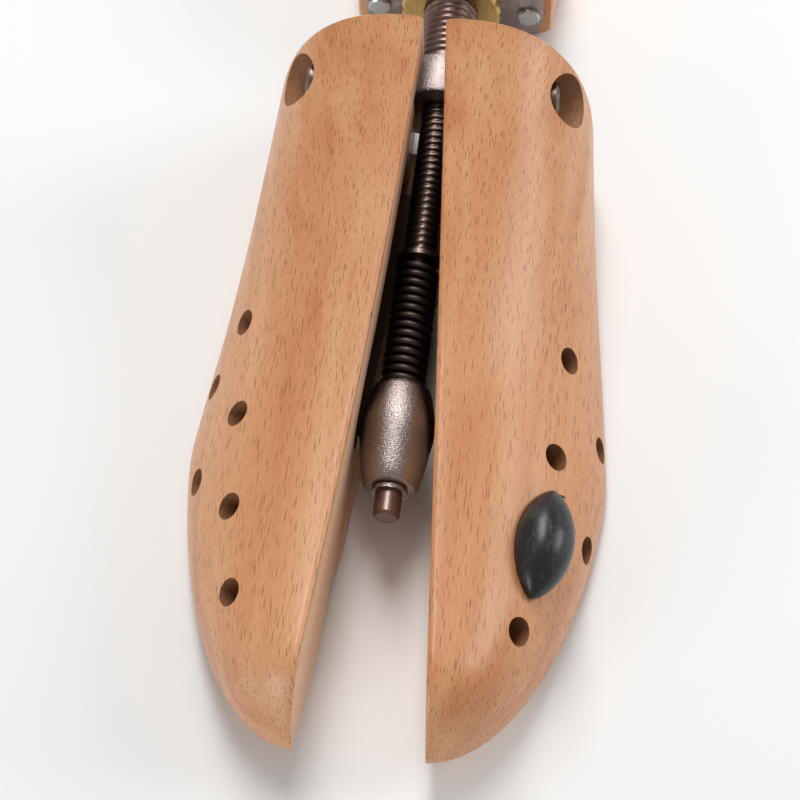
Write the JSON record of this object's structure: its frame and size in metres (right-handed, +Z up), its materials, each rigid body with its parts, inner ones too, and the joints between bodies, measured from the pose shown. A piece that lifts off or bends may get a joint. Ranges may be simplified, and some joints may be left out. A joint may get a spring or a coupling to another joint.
{
  "type": "two-way shoe stretcher",
  "caption": "Wooden forefoot block split lengthwise, opened by a screw-driven wedge, with a heel block on a threaded tube, a turning handle and a dome plug.",
  "frame": {"origin": "centre of the bounding box in plan, on the plane of the soles", "axes": "+Y along the spindle towards the handle, so the toe points along -Y; +Z up; +X towards the half that holds the plug"},
  "size_m": [0.0988, 0.3242, 0.0635],
  "materials": {
    "beech": "clear satin varnish over fine straight grain",
    "casting": "cast and plated, satin with a fine granular sparkle",
    "steel": "nickel plated, satin",
    "blackened_steel": "oiled dark steel",
    "spring_steel": "black oiled spring steel",
    "brass": "machined, satin",
    "black_plastic": "moulded, satin"
  },
  "bodies": {
    "hinge_frame": {"hinge_block": "casting", "length_tube": "blackened_steel", "tube_set_screw": "blackened_steel"},
    "left_toe": {"toe_half_left": "beech", "hinge_pin_left": "steel", "hinge_screw_left": "blackened_steel", "hinge_washer_left": "steel"},
    "right_toe": {"toe_half_right": "beech", "hinge_pin_right": "steel", "hinge_screw_right": "blackened_steel", "hinge_washer_right": "steel"},
    "wedge_carriage": {"wedge": "casting", "wedge_spring": "spring_steel", "spring_seat": "steel"},
    "handle_spindle": {"spindle": "blackened_steel", "nose_ring": "steel", "handle_hub": "steel", "handle_bar": "steel", "handle_pin": "blackened_steel", "handle_knobs": "black_plastic"},
    "heel": {"heel_block": "beech", "heel_plate": "casting", "heel_plate_screws": "steel", "heel_ferrule": "brass"},
    "adjuster": {"length_nut": "brass", "nut_ring": "steel"},
    "plug": {"pressure_plug": "black_plastic"}
  },
  "joints": [
    {"name": "left_spread", "type": "hinge", "parent": "hinge_frame", "child": "left_toe", "pos_m": [-0.012, -0.00688, 0.03], "axis": [0, 0, -1], "range_deg": [-5.25, 0]},
    {"name": "right_spread", "type": "hinge", "parent": "hinge_frame", "child": "right_toe", "pos_m": [0.012, -0.00688, 0.03], "axis": [0, 0, 1], "range_deg": [-5.25, 0]},
    {"name": "wedge_travel", "type": "slide", "parent": "hinge_frame", "child": "wedge_carriage", "axis": [0, -1, 0], "range_m": [-0.034, 0]},
    {"name": "handle_turn", "type": "hinge", "parent": "wedge_carriage", "child": "handle_spindle", "pos_m": [0, 0.00112, 0.02], "axis": [0, -1, 0], "range_deg": [-6120, 0]},
    {"name": "heel_travel", "type": "slide", "parent": "hinge_frame", "child": "heel", "axis": [0, 1, 0], "range_m": [-0.014, 0.026]},
    {"name": "length_nut_turn", "type": "hinge", "parent": "heel", "child": "adjuster", "pos_m": [0, 0.04612, 0.02], "axis": [0, 1, 0], "range_deg": [-2520, 4680]},
    {"name": "plug_pull", "type": "slide", "parent": "right_toe", "child": "plug", "axis": [0.6514, -0.0573, 0.7566], "range_m": [0, 0.012]}
  ],
  "couplings": [
    {"joint": "wedge_travel", "follows": "handle_turn", "m_per_rad": 0.00031831},
    {"joint": "left_spread", "follows": "handle_turn", "ratio": 0.00085784},
    {"joint": "right_spread", "follows": "handle_turn", "ratio": 0.00085784},
    {"joint": "length_nut_turn", "follows": "heel_travel", "rad_per_m": 3141.6}
  ]
}
